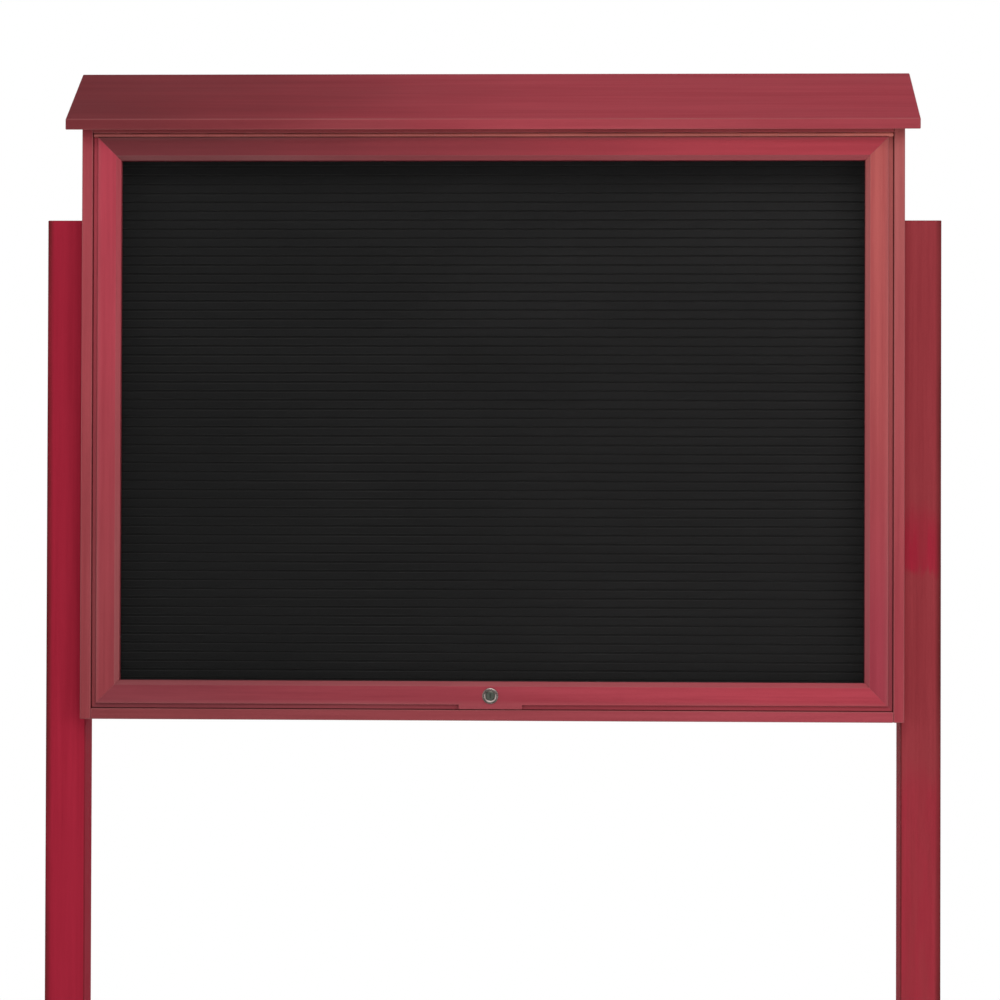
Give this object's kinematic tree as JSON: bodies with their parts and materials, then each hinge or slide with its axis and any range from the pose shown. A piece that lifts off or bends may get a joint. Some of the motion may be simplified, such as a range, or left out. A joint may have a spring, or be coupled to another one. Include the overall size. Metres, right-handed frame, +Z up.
{
  "type": "lockable notice board",
  "caption": "Outdoor message centre with a sloped roof, a top-hinged lockable window door over a grooved black letter board, and square posts bolted at each side.",
  "frame": {"origin": "on the ground line, midway between the posts, in the plane of the backs of the posts and of the case", "axes": "+X to the viewer's right, +Y from front to back, +Z up"},
  "size_m": [1.255, 0.1356, 2.6534],
  "materials": {
    "rosewood_post": "satin moulded plastic lumber, deeper crimson",
    "rosewood_board": "satin moulded plastic lumber",
    "rosewood_roof": "satin moulded plastic lumber",
    "letterboard_black": "matt black ribbed plastic",
    "backing_board": "matt black plastic board",
    "clear_pane": "clear polycarbonate",
    "black_rubber": "black foam and rubber strip",
    "painted_hinge": "powder-coated to match the boards",
    "stainless": "brushed stainless steel",
    "lock_plating": "nickel plate"
  },
  "bodies": {
    "case": {"left_post": "rosewood_post", "right_post": "rosewood_post", "left_side_board": "rosewood_board", "right_side_board": "rosewood_board", "bottom_board": "rosewood_board", "header_board": "rosewood_board", "back_panel": "rosewood_board", "roof_board": "rosewood_roof", "roof_front_cleat": "rosewood_board", "roof_back_cleat": "rosewood_board", "left_stop": "rosewood_board", "right_stop": "rosewood_board", "top_stop": "rosewood_board", "bottom_left_stop": "rosewood_board", "bottom_right_stop": "rosewood_board", "door_seal": "black_rubber", "letterboard_panel": "letterboard_black", "letterboard_backer": "backing_board", "letterboard_screws": "stainless", "hinge_case_leaf": "painted_hinge", "hinge_pin": "stainless", "hinge_case_screws": "stainless", "strike_plate": "stainless", "strike_screws": "stainless", "stay_pivot_studs": "stainless", "post_bolts": "stainless", "post_washers": "stainless", "post_nuts": "stainless", "case_screws": "stainless", "roof_screws": "stainless", "stop_screws": "stainless"},
    "door": {"door_top_rail": "rosewood_board", "door_bottom_rail": "rosewood_board", "door_left_stile": "rosewood_board", "door_right_stile": "rosewood_board", "door_corner_keys": "rosewood_board", "window_pane": "clear_pane", "glazing_gasket": "black_rubber", "glazing_bead_top": "rosewood_board", "glazing_bead_bottom": "rosewood_board", "glazing_bead_left": "rosewood_board", "glazing_bead_right": "rosewood_board", "bead_screws": "stainless", "hinge_door_leaf": "painted_hinge", "hinge_door_screws": "stainless", "lock_body": "lock_plating", "lock_nut": "lock_plating", "stay_catches": "stainless", "stay_catch_screws": "stainless"},
    "lock_cylinder": {"lock_plug": "lock_plating", "lock_cam": "lock_plating", "lock_cam_screw": "lock_plating"},
    "left_stay": {"left_stay_arm": "stainless"},
    "right_stay": {"right_stay_arm": "stainless"}
  },
  "joints": [
    {"name": "door_hinge", "type": "hinge", "parent": "case", "child": "door", "pos_m": [0, -0.0991, 1.9422], "axis": [-1, 0, 0], "range_deg": [0, 80]},
    {"name": "lock_turn", "type": "hinge", "parent": "door", "child": "lock_cylinder", "pos_m": [0, -0.1016, 1.1635], "axis": [0, 1, 0], "range_deg": [0, 90]},
    {"name": "left_stay_pivot", "type": "hinge", "parent": "case", "child": "left_stay", "pos_m": [-0.5315, -0.0571, 1.7822], "axis": [-1, 0, 0], "range_deg": [0, 103.8]},
    {"name": "right_stay_pivot", "type": "hinge", "parent": "case", "child": "right_stay", "pos_m": [0.5315, -0.0571, 1.7822], "axis": [-1, 0, 0], "range_deg": [0, 103.8]}
  ],
  "couplings": [
    {"joint": "left_stay_pivot", "follows": "door_hinge", "ratio": 1.297},
    {"joint": "right_stay_pivot", "follows": "door_hinge", "ratio": 1.297}
  ]
}
